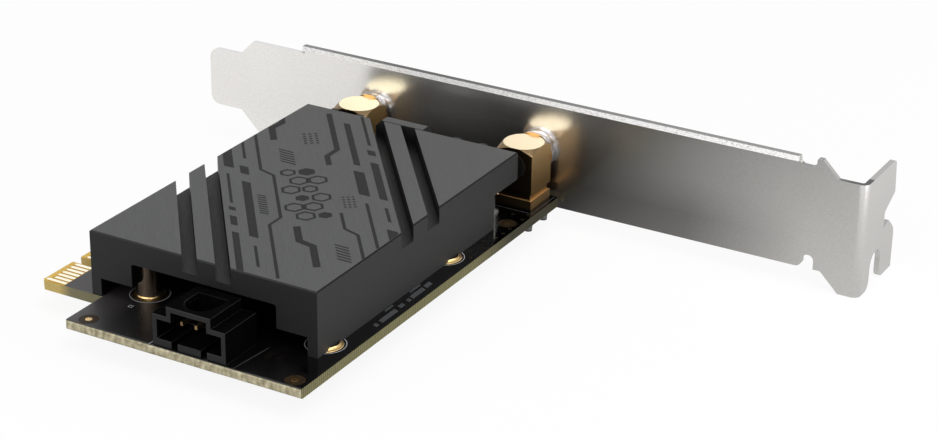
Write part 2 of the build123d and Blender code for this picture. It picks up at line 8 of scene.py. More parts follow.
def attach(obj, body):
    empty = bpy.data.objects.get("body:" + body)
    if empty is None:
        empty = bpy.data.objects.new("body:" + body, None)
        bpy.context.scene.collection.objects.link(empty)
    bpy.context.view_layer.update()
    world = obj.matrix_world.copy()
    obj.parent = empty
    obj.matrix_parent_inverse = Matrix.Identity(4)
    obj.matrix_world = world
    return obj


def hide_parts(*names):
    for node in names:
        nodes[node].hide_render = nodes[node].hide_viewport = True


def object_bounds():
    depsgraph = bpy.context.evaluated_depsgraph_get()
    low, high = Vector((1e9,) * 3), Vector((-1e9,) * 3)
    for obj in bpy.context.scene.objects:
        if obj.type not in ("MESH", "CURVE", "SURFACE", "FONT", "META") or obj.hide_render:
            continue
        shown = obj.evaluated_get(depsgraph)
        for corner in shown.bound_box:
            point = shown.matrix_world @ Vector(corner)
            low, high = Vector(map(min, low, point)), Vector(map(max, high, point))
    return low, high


# Looks of a wireless network card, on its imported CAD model. Places on the card are given in
# millimetres from the board's corner: x from the free end, y from the near edge, z from the
# component face. Meshes and materials work in metres, in the row frame.

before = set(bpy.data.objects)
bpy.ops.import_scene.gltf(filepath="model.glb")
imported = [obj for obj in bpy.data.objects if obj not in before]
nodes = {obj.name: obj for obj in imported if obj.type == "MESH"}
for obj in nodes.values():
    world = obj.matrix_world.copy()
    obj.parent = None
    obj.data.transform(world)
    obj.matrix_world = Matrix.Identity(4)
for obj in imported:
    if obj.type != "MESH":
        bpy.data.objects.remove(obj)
cad_low, cad_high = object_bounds()

X, Y, Z = 0, 1, 2

# Board and tongue
BOARD_ORIGIN = (16.81, 51.93, -0.785)
BOARD_DEPTH = 40.5
BOARD_THICKNESS = 1.57
TONGUE_REACH = 11.43
BARE_FROM = BOARD_DEPTH + TONGUE_REACH - 4.45
FINGER_END = BOARD_DEPTH + TONGUE_REACH - 1.3
FIRST_FINGER = 9.31
FIRST_FINGER_SIDE = 9.81
FIRST_FINGER_EXTRA = 0.0006
FINGER_PITCH = 1.0
FINGER_ROUNDING = 0.0035
FIDUCIALS = [(1.86, 37.7), (62.3, 2.2)]
TOOLING_HOLE = (1.86, 2.2)

# Heat sink and its screws
SINK_MIDDLE = (37.78, 22.64)
SINK_HALF = (29.0, 19.69)
SINK_TOP = 10.33
SINK_INSIDE_TOP = 6.62
GROOVE_ANGLE = math.radians(37.7)
GROOVE_LEAN = 0.611
GROOVE_DEPTH = 2.6
SCREWS = [(13.1, 4.42), (46.65, 4.42), (13.1, 35.1), (46.65, 35.1)]
STANDOFF_RADIUS = 2.05
PAD_RADIUS = 2.62
SCREW_RING_RADIUS = 3.0
SCREW_CLEARANCE = 3.1

# Power header
HEADER_MOUTH = 0.49
PIN_PITCH = 2.5
PIN_PLACES = [(9.09, 19.02 + PIN_PITCH * step) for step in (-1.5, -0.5, 0.5, 1.5)]

# Antenna jacks
JACK_Y = {"near": 4.67, "far": 35.6}
JACK_MIDDLE = 71.9
JACK_FRONT = 75.15
JACK_LEG = 2.54
JACK_AXIS = 6.95
JACK_TOP = 9.95
JACK_FOOT_TOP = 1.4
NUT_FACE = 80.03
JACK_TIP = 87.87
BARREL_RADIUS = 3.175
BARREL_CORE = 0.0027
COLLAR_FROM = 0.0033
THREAD_PITCH = 0.7056
THREAD_STEPS = 48
THREAD_PROFILE = [(0.0, 0.0), (0.38, 0.22), (0.38, 0.40), (0.0, 0.62)]

# Bracket
HEM_EDGE = 76.15
TAB_FROM = 79.2

PRINT_LIFT = 0.012
WELD_DISTANCE = 1e-6
BORDER_TONE = (0.66, 0.42, 0.05)
GAP_TONE = (0.54, 0.32, 0.02)

# Painted reflection and shade on the bracket's upward edges, by place along it
EDGE_REACH = 60
PAINTED_EDGE_LIGHT = [
    (-60, 0.07),
    (-49, 0.07),
    (-44, 0.28),
    (-20, 0.22),
    (5, 0.14),
    (20, 0.06),
    (30, 0.06),
    (42, 0.14),
    (49.4, 0.2),
    (50.2, 0.7),
    (60, 0.7),
]

# Brightness of the floor in mirrored rays, by place along the bracket: a painted shadow near the
# card, painted light beyond
MIRRORED_FLOOR = [
    (-140, 0.85),
    (-65, 0.72),
    (-36, 0.54),
    (-23, 0.40),
    (-11, 0.235),
    (-4, 0.13),
    (3, 0.05),
    (24, 0.035),
    (36, 0.2),
    (44, 0.42),
    (53, 1.0),
    (80, 1.12),
    (140, 1.12),
]
FLOOR_TONE = 0.86
FLOOR_SHARE = 0.9
FLOOR_HALF = 6.0
FLOOR_GAP = 0.00005


def at(x, y, z=0.0):
    """A place on the card, in metres in the row frame."""
    ox, oy, oz = BOARD_ORIGIN
    return Vector(((x - ox) / 1000, (y - oy) / 1000, (z - oz) / 1000))


def spot(axis, place):
    """One coordinate of a place on the card, in metres in the row frame."""
    return at(*(place if index == axis else 0 for index in range(3)))[axis]


# Camera, fitted to the photo
AZIMUTH = math.radians(-60.73)
ELEVATION = math.radians(24.66)
ROLL = math.radians(0.936)
CAMERA_PLACE = (-0.25811, -0.21293, 0.159385)
CAMERA_LENS = 92.66

view_back = Vector(
    (
        math.sin(AZIMUTH) * math.cos(ELEVATION),
        -math.cos(AZIMUTH) * math.cos(ELEVATION),
        math.sin(ELEVATION),
    )
)
view_level = Vector((math.cos(AZIMUTH), math.sin(AZIMUTH), 0))
view_right = view_level * math.cos(ROLL) + view_back.cross(view_level) * math.sin(ROLL)
view_up = view_back.cross(view_right)
camera_data = bpy.data.cameras.new("camera")
camera_data.lens = CAMERA_LENS
camera_data.sensor_width = 36
camera_data.clip_start = 0.01
camera_data.clip_end = 20
camera = bpy.data.objects.new("camera", camera_data)
turn = Matrix((view_right, view_up, view_back)).transposed().to_4x4()
camera.matrix_world = Matrix.Translation(CAMERA_PLACE) @ turn
bpy.context.collection.objects.link(camera)
bpy.context.scene.camera = camera
bpy.context.scene.view_settings.view_transform = "Standard"


def rgba(color):
    """A colour with its alpha, from a colour or a grey."""
    tone = color if isinstance(color, tuple) else (color, color, color)
    return (*tone, 1)


class Graph:
    """A tree of nodes, with the steps that the materials are made of."""

    def __init__(self, tree):
        self.tree = tree

    def node(self, kind, **settings):
        made = self.tree.nodes.new(kind)
        for key, value in settings.items():
            setattr(made, key, value)
        return made

    def feed(self, socket, value):
        """Links a socket, or sets its number or colour."""
        if isinstance(value, bpy.types.NodeSocket):
            self.tree.links.new(value, socket)
        else:
            socket.default_value = rgba(value) if socket.type == "RGBA" else value

    def math(self, operation, first, second=0.0):
        made = self.node("ShaderNodeMath", operation=operation)
        self.feed(made.inputs[0], first)
        self.feed(made.inputs[1], second)
        return made.outputs[0]

    def times(self, first, second):
        return self.math("MULTIPLY", first, second)

    def size(self, value):
        return self.math("ABSOLUTE", value)

    def axis(self, vector, index):
        split = self.node("ShaderNodeSeparateXYZ")
        self.feed(split.inputs[0], vector)
        return split.outputs[index]

    def ramp(self, value, stops, interpolation="LINEAR"):
        """A value through a colour ramp: stops are (position, colour or grey)."""
        made = self.node("ShaderNodeValToRGB")
        ramp = made.color_ramp
        ramp.interpolation = interpolation
        while len(ramp.elements) < len(stops):
            ramp.elements.new(0.5)
        for element, (position, color) in zip(ramp.elements, stops):
            element.position = position
            element.color = rgba(color)
        self.feed(made.inputs[0], value)
        return made.outputs[0]

    def range(self, value, low, high, to_low=0.0, to_high=1.0):
        """A value between two limits, spread between two others and held at them."""
        made = self.node("ShaderNodeMapRange")
        self.feed(made.inputs["Value"], value)
        limits = {"From Min": low, "From Max": high, "To Min": to_low, "To Max": to_high}
        for key, number in limits.items():
            made.inputs[key].default_value = number
        return made.outputs[0]

    def mix(self, share, first, second, blend="MIX"):
        made = self.node("ShaderNodeMix", data_type="RGBA", blend_type=blend)
        for index, value in ((0, share), (6, first), (7, second)):
            self.feed(made.inputs[index], value)
        return made.outputs[2]

    def tinted(self, color, tone):
        return self.mix(1.0, color, tone, "MULTIPLY")

    def surface(self, kind, color, strength=None):
        """A shader with its colour, and its strength where it shines."""
        made = self.node(kind)
        self.feed(made.inputs["Color"], color)
        if strength is not None:
            made.inputs["Strength"].default_value = strength
        return made.outputs[0]

    def joined(self, share, first, second):
        """Two shaders mixed by a share."""
        made = self.node("ShaderNodeMixShader")
        for index, value in enumerate((share, first, second)):
            self.feed(made.inputs[index], value)
        return made.outputs[0]


class Shader(Graph):
    """A procedural material: one Principled shader and the nodes that feed it."""

    def __init__(self, name, color, roughness, metallic=0.0, specular=0.5):
        self.material = bpy.data.materials.new(name)
        self.material.use_nodes = True
        super().__init__(self.material.node_tree)
        self.sockets = self.tree.nodes["Principled BSDF"].inputs
        self.color(color)
        self.roughness(roughness)
        self.metallic(metallic)
        self.feed(self.sockets["Specular IOR Level"], specular)
        self.place = self.node("ShaderNodeTexCoord").outputs["Object"]
        self.normal = self.node("ShaderNodeNewGeometry").outputs["True Normal"]

    def color(self, value):
        self.feed(self.sockets["Base Color"], value)

    def roughness(self, value):
        self.feed(self.sockets["Roughness"], value)

    def metallic(self, value):
        self.feed(self.sockets["Metallic"], value)

    def ior(self, value):
        self.feed(self.sockets["IOR"], value)

    def bump(self, height, strength, distance):
        made = self.node("ShaderNodeBump")
        made.inputs["Strength"].default_value = strength
        made.inputs["Distance"].default_value = distance
        self.feed(made.inputs["Height"], height)
        self.feed(self.sockets["Normal"], made.outputs[0])

    def noise(self, scale, turn_z=0.0, detail=3.0, roughness=0.5):
        """Noise of one scale, or of three along axes that are turned about z."""
        turned_place = self.node("ShaderNodeMapping", vector_type="TEXTURE")
        turned_place.inputs["Rotation"].default_value = (0, 0, turn_z)
        self.feed(turned_place.inputs["Vector"], self.place)
        grown = self.node("ShaderNodeMapping")
        grown.inputs["Scale"].default_value = scale if isinstance(scale, tuple) else (scale,) * 3
        self.feed(grown.inputs["Vector"], turned_place.outputs[0])
        made = self.node("ShaderNodeTexNoise")
        made.inputs["Scale"].default_value = 1.0
        made.inputs["Detail"].default_value = detail
        made.inputs["Roughness"].default_value = roughness
        self.feed(made.inputs["Vector"], grown.outputs[0])
        return made.outputs["Fac"]

    def along(self, index):
        """The surface's place along an axis."""
        return self.axis(self.place, index)

    def tilt(self, index):
        """The part of the surface's normal that lies along an axis."""
        return self.axis(self.normal, index)

    def facing(self, index, low=0.6, high=0.8):
        """One where the surface faces up or down an axis, zero elsewhere."""
        return self.range(self.size(self.tilt(index)), low, high)

    def span(self, index, start, end):
        """Zero up to one place on the card, one from another on."""
        return self.range(self.along(index), spot(index, start), spot(index, end))

    def off_row(self, index, middle, pitch):
        """Distance from the nearest middle in a row, as a share of the pitch."""
        steps = self.math("SUBTRACT", self.along(index), spot(index, middle))
        steps = self.math("ADD", self.times(steps, 1000.0 / pitch), 20.5)
        return self.size(self.math("SUBTRACT", self.math("FRACT", steps), 0.5))


def anodised():
    """Black anodised aluminium with a brushed grey top, lighter than the sides partly by painted
    light, and painted shade on the front and back faces, the groove walls and floors, the top's
    long chamfers and the inside.
    """
    made = Shader("anodised_aluminium", 0.05, 0.45, specular=0.14)
    lines = made.noise((300, 7000, 7000), GROOVE_ANGLE, roughness=0.7)
    broad = made.noise((25, 500, 500), GROOVE_ANGLE, detail=2)
    upward = made.tilt(Z)
    top = made.range(upward, 0.8, 0.95)
    brushed = made.times(top, made.span(Z, SINK_TOP - 0.28, SINK_TOP - 0.13))
    # the brushed top is lighter than the sides, partly its brushed finish and partly painted
    # light from above
    line_stops = [(0.32, (0.0555, 0.0565, 0.0563)), (0.68, (0.0840, 0.0853, 0.0850))]
    broad_tone = made.ramp(broad, [(0.3, 0.93), (0.7, 1.0)])
    brush_color = made.tinted(made.ramp(lines, line_stops), broad_tone)
    specks = made.noise((1500, 1500, 4500), detail=2)
    # painted shade: faces across x, the front and back, darker than the long sides
    side_color = made.mix(made.facing(X), 0.034, (0.0185, 0.0185, 0.0187))
    side_color = made.tinted(side_color, made.ramp(specks, [(0.25, 0.9), (0.75, 1.0)]))
    off_slant = made.math("SUBTRACT", made.size(made.tilt(X)), GROOVE_LEAN)
    slanted = made.range(made.size(off_slant), 0.1, 0.05)
    # painted shade: groove walls darker towards their bottom
    wall_depth = made.span(Z, SINK_TOP - GROOVE_DEPTH, SINK_TOP)
    groove_wall_shade = made.ramp(wall_depth, [(0.0, 0.005), (1.0, 0.014)])
    side_color = made.mix(slanted, side_color, groove_wall_shade)
    # painted shade: the chamfers along the top's long sides painted near black
    chamfered = made.times(made.range(upward, 0.5, 0.6), made.facing(Y, 0.5, 0.6))
    side_color = made.mix(chamfered, side_color, 0.004)
    # painted shade: groove floors and other upward faces below the top painted near black
    floor_color = made.mix(top, side_color, 0.0065)
    color = made.mix(brushed, floor_color, brush_color)
    # painted shade: faces inside, under the plate, painted near black
    shaded_inside = made.math("LESS_THAN", made.along(Z), spot(Z, SINK_INSIDE_TOP))
    for axis in (X, Y):
        inner_half = SINK_HALF[axis] - 0.05
        low = spot(axis, SINK_MIDDLE[axis] - inner_half)
        high = spot(axis, SINK_MIDDLE[axis] + inner_half)
        shaded_inside = made.times(shaded_inside, made.math("GREATER_THAN", made.along(axis), low))
        shaded_inside = made.times(shaded_inside, made.math("LESS_THAN", made.along(axis), high))
    made.color(made.mix(shaded_inside, color, 0.0012))
    made.roughness(made.range(lines, 0.3, 0.7, 0.38, 0.5))
    made.bump(made.times(lines, brushed), 0.12, 0.00002)
    return made


def laminate():
    """Glass laminate edges under a glossy black mask, bare and golden on the tongue; the long
    edge has painted shade towards the bracket and the mask a painted sheen along the far edge.
    """
    made = Shader("board_laminate", 0.001, 0.2, specular=0.6)
    flat = made.facing(Z)
    strands = made.node("ShaderNodeTexWave", wave_type="BANDS", bands_direction="X")
    for key, number in {"Scale": 620.0, "Distortion": 1.2, "Detail": 1.0}.items():
        strands.inputs[key].default_value = number
    made.feed(strands.inputs["Vector"], made.place)
    weave = made.noise((1300, 1300, 3500))
    streaks = made.noise((600, 1500, 900), detail=2)
    strand_stops = [(0.1, (0.095, 0.089, 0.033)), (0.8, (0.20, 0.18, 0.078))]
    # painted shade: the long edge darkens towards the bracket
    bracket_shade = made.ramp(made.span(X, 48, 60), [(0.0, 1.0), (1.0, 0.24)])
    long_edge = made.tinted(made.ramp(strands.outputs["Fac"], strand_stops), bracket_shade)
    end_edge = made.ramp(streaks, [(0.3, (0.235, 0.205, 0.115)), (0.72, (0.58, 0.52, 0.345))])
    edge = made.mix(made.facing(Y), end_edge, long_edge)
    tip = made.span(Y, BOARD_DEPTH + 5.9, BOARD_DEPTH + 8.2)
    tongue_side = made.mix(tip, (0.145, 0.130, 0.058), (0.49, 0.35, 0.09))
    edge = made.mix(made.span(Y, BOARD_DEPTH, BOARD_DEPTH + 0.3), edge, tongue_side)
    edge = made.tinted(edge, made.ramp(weave, [(0.3, 0.82), (0.7, 1.0)]))
    mask_stops = [(0.3, (0.0007, 0.0006, 0.0007)), (0.7, (0.0016, 0.0013, 0.0014))]
    mask = made.ramp(made.noise(220, detail=2), mask_stops)
    # painted sheen: the mask is paler towards the far edge, a painted reflection
    mask = made.mix(made.span(Y, 34, BOARD_DEPTH), mask, (0.026, 0.022, 0.023))
    tongue = made.ramp(weave, [(0.3, (0.40, 0.20, 0.004)), (0.7, (0.52, 0.29, 0.012))])
    tongue = made.mix(made.span(Y, FINGER_END, FINGER_END + 0.1), tongue, BORDER_TONE)
    bare = made.span(Y, BARE_FROM, BARE_FROM + 0.05)
    made.color(made.mix(flat, edge, made.mix(bare, mask, tongue)))
    gloss_stops = [(0.04, 0.1), (0.1, 0.28), (0.72, 0.32), (0.92, 0.5)]
    gloss = made.ramp(made.span(Y, 0, BOARD_DEPTH), gloss_stops)
    gloss = made.mix(made.span(X, 60, 67), gloss, 0.13)
    made.roughness(made.mix(flat, 0.5, gloss))
    made.bump(made.times(streaks, made.math("SUBTRACT", 1.0, flat)), 0.3, 0.00004)
    return made


def contact_plating():
    """Polished gold on the edge contacts, which end short of the tongue's own edge."""
    made = Shader("contact_gold", (1.0, 0.96, 0.8), 0.28, 1.0)
    first = made.math("LESS_THAN", made.along(X), spot(X, FIRST_FINGER_SIDE))
    along = made.math("SUBTRACT", made.along(Y), made.times(first, FIRST_FINGER_EXTRA))
    off_middle = made.off_row(X, FIRST_FINGER, FINGER_PITCH)
    rounding = made.times(made.math("POWER", off_middle, 2.0), FINGER_ROUNDING)
    end = spot(Y, FINGER_END)
    border = made.range(made.math("ADD", along, rounding), end, end + 0.00005)
    beside = made.range(off_middle, 0.3, 0.33)
    polished_stops = [(0.3, (1.0, 0.94, 0.74)), (0.7, (1.0, 0.98, 0.84))]
    polished = made.ramp(made.noise(175, detail=2), polished_stops)
    polished = made.mix(beside, polished, GAP_TONE)
    made.color(made.mix(border, polished, BORDER_TONE))
    made.metallic(made.range(made.math("MAXIMUM", border, beside), 0, 1, 1.0, 0.0))
    return made


def jack_plating():
    """Gold plating with painted shade down the sides, on the foot and on faces towards the heat
    sink, painted highlights on the upright corners, a painted glint on ledges, and the far
    jack's top painted brighter.
    """
    made = Shader("jack_plating", (0.66, 0.56, 0.39), 0.2, 1.0)
    # painted shade: the sides darken down towards the foot, and the foot darker still
    side_shade_stops = [
        (0.0, (0.27, 0.16, 0.052)),
        (0.3, (0.33, 0.19, 0.062)),
        (0.75, (0.56, 0.35, 0.14)),
        (1.0, (0.72, 0.46, 0.2)),
    ]
    side = made.ramp(made.span(Z, JACK_FOOT_TOP, JACK_TOP), side_shade_stops)
    foot = made.span(Z, JACK_FOOT_TOP + 0.05, JACK_FOOT_TOP - 0.05)
    side = made.mix(foot, side, (0.25, 0.15, 0.06))
    # painted shade: faces towards the heat sink painted near black
    sink_facing_shade = made.range(made.tilt(X), -0.6, -0.8)
    on_block = made.math("LESS_THAN", made.along(X), spot(X, JACK_MIDDLE))
    side = made.mix(made.times(sink_facing_shade, on_block), side, (0.045, 0.030, 0.014))
    # painted highlight on the rounded upright corners
    corner = made.times(made.facing(X, 0.25, 0.35), made.facing(Y, 0.25, 0.35))
    side = made.mix(corner, side, (1.0, 0.82, 0.56))
    # painted light: the far jack's top brighter than the near one's, and a painted orange glint
    # on upward ledges below the top
    top = made.mix(made.span(Y, 10, 30), (0.53, 0.445, 0.295), (0.92, 0.82, 0.56))
    top = made.mix(made.span(Z, JACK_TOP - 1, JACK_TOP - 0.9), (0.95, 0.58, 0.24), top)
    made.color(made.mix(made.range(made.tilt(Z), 0.9, 0.95), side, top))
    made.metallic(made.range(foot, 0, 1, 0.85, 0.6))
    return made


def polished_collar():
    """Polished metal, its colour painted with sharp patches of reflected light and brown."""
    made = Shader("polished_collar", (0.8, 0.77, 0.75), 0.1, 1.0)
    painted_reflections = [
        (0.0, (0.48, 0.47, 0.48)),
        (0.44, (0.26, 0.20, 0.14)),
        (0.48, (0.38, 0.32, 0.25)),
        (0.56, (0.52, 0.50, 0.52)),
    ]
    made.color(made.ramp(made.noise(420, detail=1), painted_reflections, "CONSTANT"))
    return made


def pin_plating():
    """Dark gold pins, their sides painted dark as shade, with a painted glint in the middle of
    each end.
    """
    made = Shader("pin_gold", (0.1, 0.07, 0.04), 0.3, 0.6)
    end = made.range(made.tilt(X), -0.6, -0.8)
    glint_core = made.range(made.off_row(Y, PIN_PLACES[1][1], PIN_PITCH), 0.09, 0.06)
    made.color(made.mix(made.times(end, glint_core), (0.025, 0.018, 0.011), (0.95, 0.6, 0.3)))
    return made


def header_plastic():
    """Near black plastic, with painted highlights on its rounded edges and on the rim of its
    mouth.
    """
    made = Shader("header_plastic", 0.002, 0.4)
    made.ior(1.03)
    dark_stops = [(0.3, (0.0012, 0.0012, 0.0013)), (0.7, (0.0024, 0.0024, 0.0025))]
    mouth = made.range(made.tilt(X), -0.6, -0.8)
    rim_highlight = made.span(X, HEADER_MOUTH + 0.2, HEADER_MOUTH + 0.1)
    dark = made.ramp(made.noise(1800), dark_stops)
    tone = made.mix(made.times(mouth, rim_highlight), dark, (0.026, 0.026, 0.027))
    slope = made.size(made.tilt(Z))
    rounded_highlight = made.times(made.range(slope, 0.2, 0.3), made.range(slope, 0.97, 0.9))
    made.color(made.mix(rounded_highlight, tone, (0.045, 0.045, 0.047)))
    return made


def steel():
    """Zinc coated steel sheet with a fine grain, sheared rough along the hem, with painted shade
    towards its bottom beside the near jack and painted reflection and shade along its upward
    edges.
    """
    made = Shader("bracket_steel", (0.75, 0.74, 0.72), 0.25, 1.0)
    shear = made.noise((8000, 5000, 8000), detail=2, roughness=0.6)
    hem = made.span(X, HEM_EDGE + 0.05, HEM_EDGE - 0.05)
    grain_stops = [(0.3, (0.845, 0.826, 0.794)), (0.7, (0.905, 0.885, 0.852))]
    tone = made.ramp(made.noise(3600, detail=1), grain_stops)
    tone = made.tinted(tone, made.ramp(made.noise(90, detail=1), [(0.3, 0.97), (0.7, 1.0)]))
    # painted shade: darker towards the bottom, from beside the near jack towards the near end
    shade = made.ramp(made.span(Z, 2, 13), [(0.0, 0.44), (0.55, 0.82), (1.0, 1.0)])
    past_card = made.times(made.span(Y, -42, -22), made.span(Y, 12, 2))
    tone = made.tinted(tone, made.mix(past_card, 0.87, shade))
    # painted reflection and shade on the upward edges, by place along them, and darker on the
    # tab
    upward = made.range(made.tilt(Z), 0.6, 0.8)
    edge_stops = [((EDGE_REACH + y) / (2 * EDGE_REACH), edge) for y, edge in PAINTED_EDGE_LIGHT]
    painted_edge_light = made.ramp(made.span(Y, -EDGE_REACH, EDGE_REACH), edge_stops)
    painted_edge_light = made.mix(made.span(X, TAB_FROM, TAB_FROM + 0.4), painted_edge_light, (0.42, 0.41, 0.40))
    tone = made.mix(upward, tone, painted_edge_light)
    cut = made.ramp(shear, [(0.36, (0.52, 0.51, 0.50)), (0.48, (0.94, 0.93, 0.92))])
    made.color(made.mix(made.times(hem, made.math("SUBTRACT", 1.0, upward)), tone, cut))
    made.roughness(made.range(hem, 0, 1, 0.25, 0.55))
    between_jacks = made.times(made.span(Y, 8, 20), made.span(Y, 46, 36))
    dulled = made.math("MAXIMUM", hem, made.times(between_jacks, 0.045))
    made.metallic(made.range(dulled, 0, 1, 1.0, 0.0))
    made.bump(made.times(shear, hem), 0.5, 0.00006)
    return made


def metal(name, dark, light, roughness, grain=700, bump=0.0):
    """A metal that varies softly between two tones."""
    made = Shader(name, dark, roughness, 1.0)
    fine = made.noise(grain, detail=2)
    made.color(made.ramp(made.noise(grain / 4, detail=2), [(0.3, dark), (0.7, light)]))
    made.roughness(made.range(fine, 0.3, 0.7, roughness - 0.02, roughness + 0.03))
    if bump:
        made.bump(fine, bump, 0.00002)
    return made


def plastic(name, low, high, roughness, specular=0.5):
    """A matt body or ink that varies finely between two tones."""
    made = Shader(name, low, roughness, specular=specular)
    tone = made.noise(1800)
    made.color(made.ramp(tone, [(0.3, low), (0.7, high)]))
    made.roughness(made.range(tone, 0.3, 0.7, roughness - 0.06, roughness + 0.08))
    made.bump(tone, 0.15, 0.00002)
    return made


board_mask = laminate()
finger_gold = contact_plating()
sink_black = anodised()
gold = metal("gold_plating", (0.82, 0.64, 0.39), (0.88, 0.71, 0.46), 0.2)
jack_gold = jack_plating()
collar_gold = polished_collar()
# painted shade: the crown's sloped chamfer is a darker gold
crown_shade_gold = metal("crown_shade_gold", (0.17, 0.115, 0.06), (0.23, 0.16, 0.09), 0.25)
corner_copper = metal("corner_copper", (0.50, 0.24, 0.07), (0.66, 0.34, 0.12), 0.3)
pad_gold = metal("pad_gold", (0.60, 0.40, 0.16), (0.74, 0.52, 0.24), 0.3)
brass = metal("brass", (0.25, 0.19, 0.14), (0.33, 0.26, 0.19), 0.22)
screw_steel = metal("screw_steel", (0.42, 0.42, 0.41), (0.55, 0.55, 0.54), 0.32)
tin = metal("tinned_steel", (0.55, 0.55, 0.54), (0.66, 0.66, 0.65), 0.35)
solder = metal("solder", 0.60, 0.75, 0.22, grain=1200, bump=0.2)
cap_metal = metal("cap_metal", (0.16, 0.15, 0.14), (0.22, 0.21, 0.19), 0.35)
header_black = header_plastic()
chip_black = plastic("chip_black", (0.015, 0.015, 0.016), (0.022, 0.022, 0.023), 0.5)
module_green = plastic("module_laminate", (0.014, 0.030, 0.018), (0.022, 0.042, 0.026), 0.4)
pad_grey = plastic("thermal_pad", (0.22, 0.24, 0.27), (0.28, 0.30, 0.33), 0.8)
ceramic = plastic("capacitor_body", (0.30, 0.22, 0.14), (0.38, 0.29, 0.19), 0.5)
resistor_black = plastic("resistor_body", (0.018, 0.018, 0.020), (0.03, 0.03, 0.032), 0.45)
ferrite = plastic("inductor_core", 0.07, 0.11, 0.6)
insulator = plastic("white_insulator", (0.72, 0.71, 0.67), (0.82, 0.81, 0.78), 0.45)

finishes = {
    "board": board_mask,
    "edge_contacts_component_side": finger_gold,
    "edge_contacts_solder_side": finger_gold,
    "heat_sink": sink_black,
    "standoffs": brass,
    "heat_sink_screws": screw_steel,
    "radio_module_board": module_green,
    "radio_module_shield": tin,
    "thermal_pad": pad_grey,
    "header_shroud": header_black,
    "header_pins": pin_plating(),
    "bracket": steel(),
    "capacitors": ceramic,
    "resistors": resistor_black,
    "power_inductor": ferrite,
    "voltage_regulator": chip_black,
    "crystal": tin,
    "coupling_capacitors": ceramic,
}
for side in JACK_Y:
    finishes[f"jack_body_{side}"] = jack_gold
    finishes[f"jack_insulator_{side}"] = insulator
    finishes[f"jack_contact_{side}"] = gold
    finishes[f"jack_cap_{side}"] = cap_metal
    finishes[f"jack_washer_{side}"] = gold
    finishes[f"jack_nut_{side}"] = gold
for name, shader in finishes.items():
    materials = nodes[name].data.materials
    materials.clear()
    materials.append(shader.material)


def piece(name, points, faces, shader, smooth=False):
    """A new piece from points in metres, riding on the card."""
    mesh = bpy.data.meshes.new(name)
    mesh.from_pydata([tuple(point) for point in points], [], faces)
    mesh.materials.append(shader.material)
    mesh.update()
    made = bpy.data.objects.new(name, mesh)
    bpy.context.collection.objects.link(made)
    for polygon in mesh.polygons:
        polygon.use_smooth = smooth
    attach(made, "root")


def clipped(polygon, half):
    """A convex polygon cut to the rectangle of these half sizes about the origin."""
    for index, sign in ((X, 1), (X, -1), (Y, 1), (Y, -1)):
        kept = []
        limit = half[index]
        for first, second in zip(polygon, polygon[1:] + polygon[:1]):
            depth_a = limit - sign * first[index]
            depth_b = limit - sign * second[index]
            if depth_a >= 0:
                kept.append(first)
            if depth_a * depth_b < 0:
                share = depth_a / (depth_a - depth_b)
                kept.append(tuple(a + share * (b - a) for a, b in zip(first, second)))
        polygon = kept
    return polygon


def stroke(points, width, close=False):
    """Quads along a path, mitred where it turns."""
    count = len(points)
    sides = []
    for index, point in enumerate(points):
        before = points[index - 1] if index or close else None
        after = points[(index + 1) % count] if index < count - 1 or close else None
        normals = []
        for first, second in ((before, point), (point, after)):
            if first is not None and second is not None:
                run = Vector(second) - Vector(first)
                normals.append(Vector((-run.y, run.x)).normalized())
        middle = sum(normals, Vector((0, 0))).normalized()
        reach = width / 2 / max(middle.dot(normals[0]), 0.3)
        sides.append((Vector(point) + middle * reach, Vector(point) - middle * reach))
    quads = []
    for index in range(count if close else count - 1):
        left_a, right_a = sides[index]
        left_b, right_b = sides[(index + 1) % count]
        quads.append([tuple(left_a), tuple(right_a), tuple(right_b), tuple(left_b)])
    return quads


def block(u, v, length, width, lean=0.0):
    """A bar from u along its length, centred on v, with leaning ends."""
    half = width / 2
    return [
        (u - lean * half, v - half),
        (u + length - lean * half, v - half),
        (u + length + lean * half, v + half),
        (u + lean * half, v + half),
    ]


def disc(radius, middle, sides=24):
    """One flat round polygon."""
    turns = [2 * math.pi * step / sides for step in range(sides)]
    return [(middle[0] + radius * math.cos(a), middle[1] + radius * math.sin(a)) for a in turns]


def ring(radius, width, sides, middle):
    """Quads of a flat ring, about its middle radius."""
    inner = disc(radius - width / 2, middle, sides)
    outer = disc(radius + width / 2, middle, sides)
    quads = []
    for step in range(sides):
        after = (step + 1) % sides
        quads.append([inner[step], outer[step], outer[after], inner[after]])
    return quads


def sheet(name, polygons, height, shader, to_board=lambda u, v: (u, v)):
    """Flat polygons lying on the card at a height."""
    points = []
    faces = []
    for polygon in polygons:
        if len(polygon) < 3:
            continue
        faces.append(list(range(len(points), len(points) + len(polygon))))
        points += [at(*to_board(u, v), height) for u, v in polygon]
    piece(name, points, faces, shader)


def turned(name, places, profile, shader, sides=48, capped=False):
    """Smooth rings about upright axes, from a profile of radius and height."""
    downward = profile[-1][1] < profile[0][1]
    points = []
    faces = []
    for x, y in places:
        start = len(points)
        for radius, height in profile:
            for step in range(sides):
                angle = 2 * math.pi * step / sides
                points.append(
                    at(x + radius * math.cos(angle), y + radius * math.sin(angle), height)
                )
        rings = [list(range(low, low + sides)) for low in range(start, len(points), sides)]
        drawn = []
        for lower, upper in zip(rings, rings[1:]):
            for step in range(sides):
                after = (step + 1) % sides
                drawn.append([lower[step], lower[after], upper[after], upper[step]])
        if capped:
            drawn.append(rings[-1])
        faces += [face[::-1] for face in drawn] if downward else drawn
    piece(name, points, faces, shader, smooth=True)


def round_edges(made, width, angle):
    """Rounds the edges of a piece a little where they turn by more than an angle."""
    weld = made.modifiers.new("weld", "WELD")
    weld.merge_threshold = WELD_DISTANCE
    bevel = made.modifiers.new("edges", "BEVEL")
    bevel.width = width
    bevel.segments = 2
    bevel.limit_method = "ANGLE"
    bevel.angle_limit = math.radians(angle)


